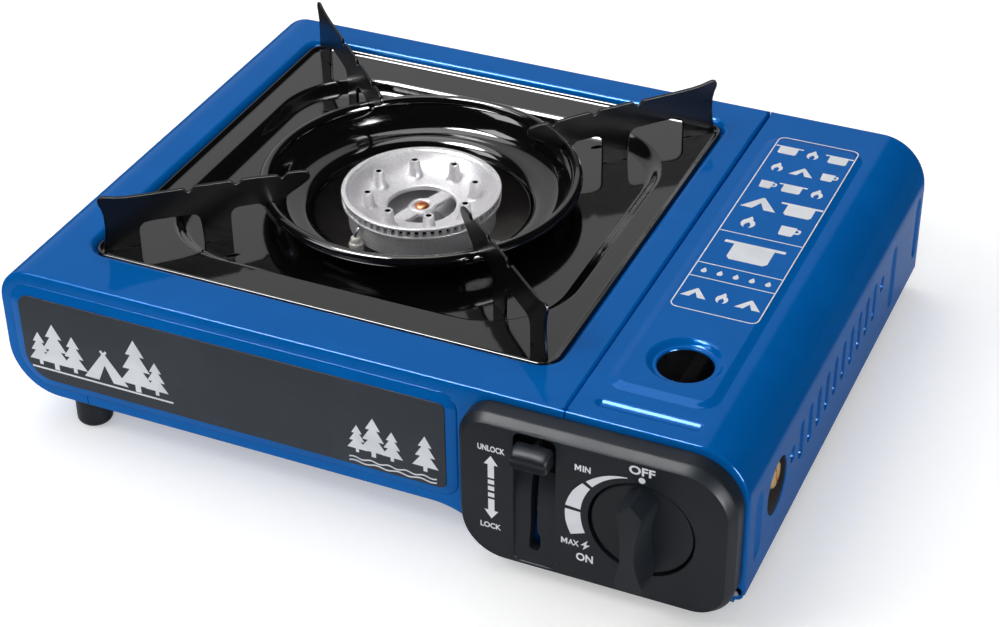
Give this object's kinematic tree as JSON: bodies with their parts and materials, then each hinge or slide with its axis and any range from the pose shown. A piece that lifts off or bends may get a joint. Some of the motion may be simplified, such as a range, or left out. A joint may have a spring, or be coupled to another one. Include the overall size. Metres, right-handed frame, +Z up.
{
  "type": "portable butane cassette stove",
  "caption": "Portable butane cassette stove: blue pressed-steel casing, black drip tray with four pan arms, ring burner, hinged cartridge lid, ignition knob and cartridge lock lever",
  "frame": {"origin": "Middle of the footprint on the table top under the rubber feet; X to the stove's right, Y to its back, Z up", "axes": "X is the stove's width, the cartridge bay on +X; +Y points from the controls to the back; +Z points up from the feet"},
  "size_m": [0.34, 0.2846, 0.1046],
  "materials": {
    "body_paint": "glossy blue enamel on pressed steel",
    "label": "dark grey printed film plate",
    "dark_plastic": "moulded dark grey plastic, satin",
    "black_enamel": "glossy black vitreous enamel on steel",
    "cast_alloy": "die-cast aluminium, slightly grainy",
    "plain_steel": "zinc-plated sheet steel",
    "brass_fitting": "turned brass",
    "copper_screw": "copper-plated screw",
    "ceramic": "white glazed ceramic",
    "black_rubber": "black rubber"
  },
  "bodies": {
    "stove": {"top_casing": "body_paint", "base_pan": "body_paint", "front_panel": "body_paint", "front_label": "label", "tall_feet": "dark_plastic", "short_feet": "dark_plastic", "bay_divider": "plain_steel", "bay_front_plate": "body_paint", "bay_back_plate": "body_paint", "cartridge_cradle": "plain_steel", "lid_hinge_pins": "plain_steel", "burner_head": "cast_alloy", "burner_body": "cast_alloy", "burner_bridge": "cast_alloy", "bridge_screw": "copper_screw", "burner_bracket": "plain_steel", "burner_screws": "plain_steel", "mixing_tube": "cast_alloy", "jet_nozzle": "brass_fitting", "gas_pipe": "plain_steel", "electrode": "ceramic", "electrode_pin": "plain_steel", "electrode_clip": "plain_steel", "igniter_lead": "black_rubber", "piezo_igniter": "dark_plastic", "regulator_body": "cast_alloy", "regulator_cap": "brass_fitting", "inlet_seal": "black_rubber", "regulator_screws": "plain_steel", "control_panel": "dark_plastic", "panel_screws": "plain_steel", "lock_guide": "plain_steel", "guide_pins": "plain_steel", "casing_screws": "plain_steel"},
    "lid": {"cartridge_lid": "body_paint"},
    "tray": {"drip_tray": "black_enamel", "support_ring": "black_enamel", "front_left_arm": "black_enamel", "front_right_arm": "black_enamel", "back_left_arm": "black_enamel", "back_right_arm": "black_enamel"},
    "knob_shaft": {"knob": "dark_plastic", "valve_spindle": "plain_steel"},
    "slider": {"lock_slider": "dark_plastic", "lock_stem": "plain_steel"},
    "fork": {"cartridge_fork": "plain_steel"}
  },
  "joints": [
    {"name": "lid_hinge", "type": "hinge", "parent": "stove", "child": "lid", "pos_m": [0.1662, 0, 0.0126], "axis": [0, 1, 0], "range_deg": [0, 88]},
    {"name": "knob_turn", "type": "hinge", "parent": "stove", "child": "knob_shaft", "pos_m": [0.13035, -0.12675, 0.04216], "axis": [0, -1, 0], "range_deg": [0, 130]},
    {"name": "lock_slide", "type": "slide", "parent": "stove", "child": "slider", "axis": [0, 0, -1], "range_m": [0, 0.036]},
    {"name": "fork_slide", "type": "slide", "parent": "stove", "child": "fork", "axis": [0, -1, 0], "range_m": [0, 0.0072]},
    {"name": "tray_lift", "type": "slide", "parent": "stove", "child": "tray", "axis": [0, 0, 1], "range_m": [0, 0.04]}
  ],
  "couplings": [
    {"joint": "fork_slide", "follows": "lock_slide", "ratio": 0.2}
  ]
}
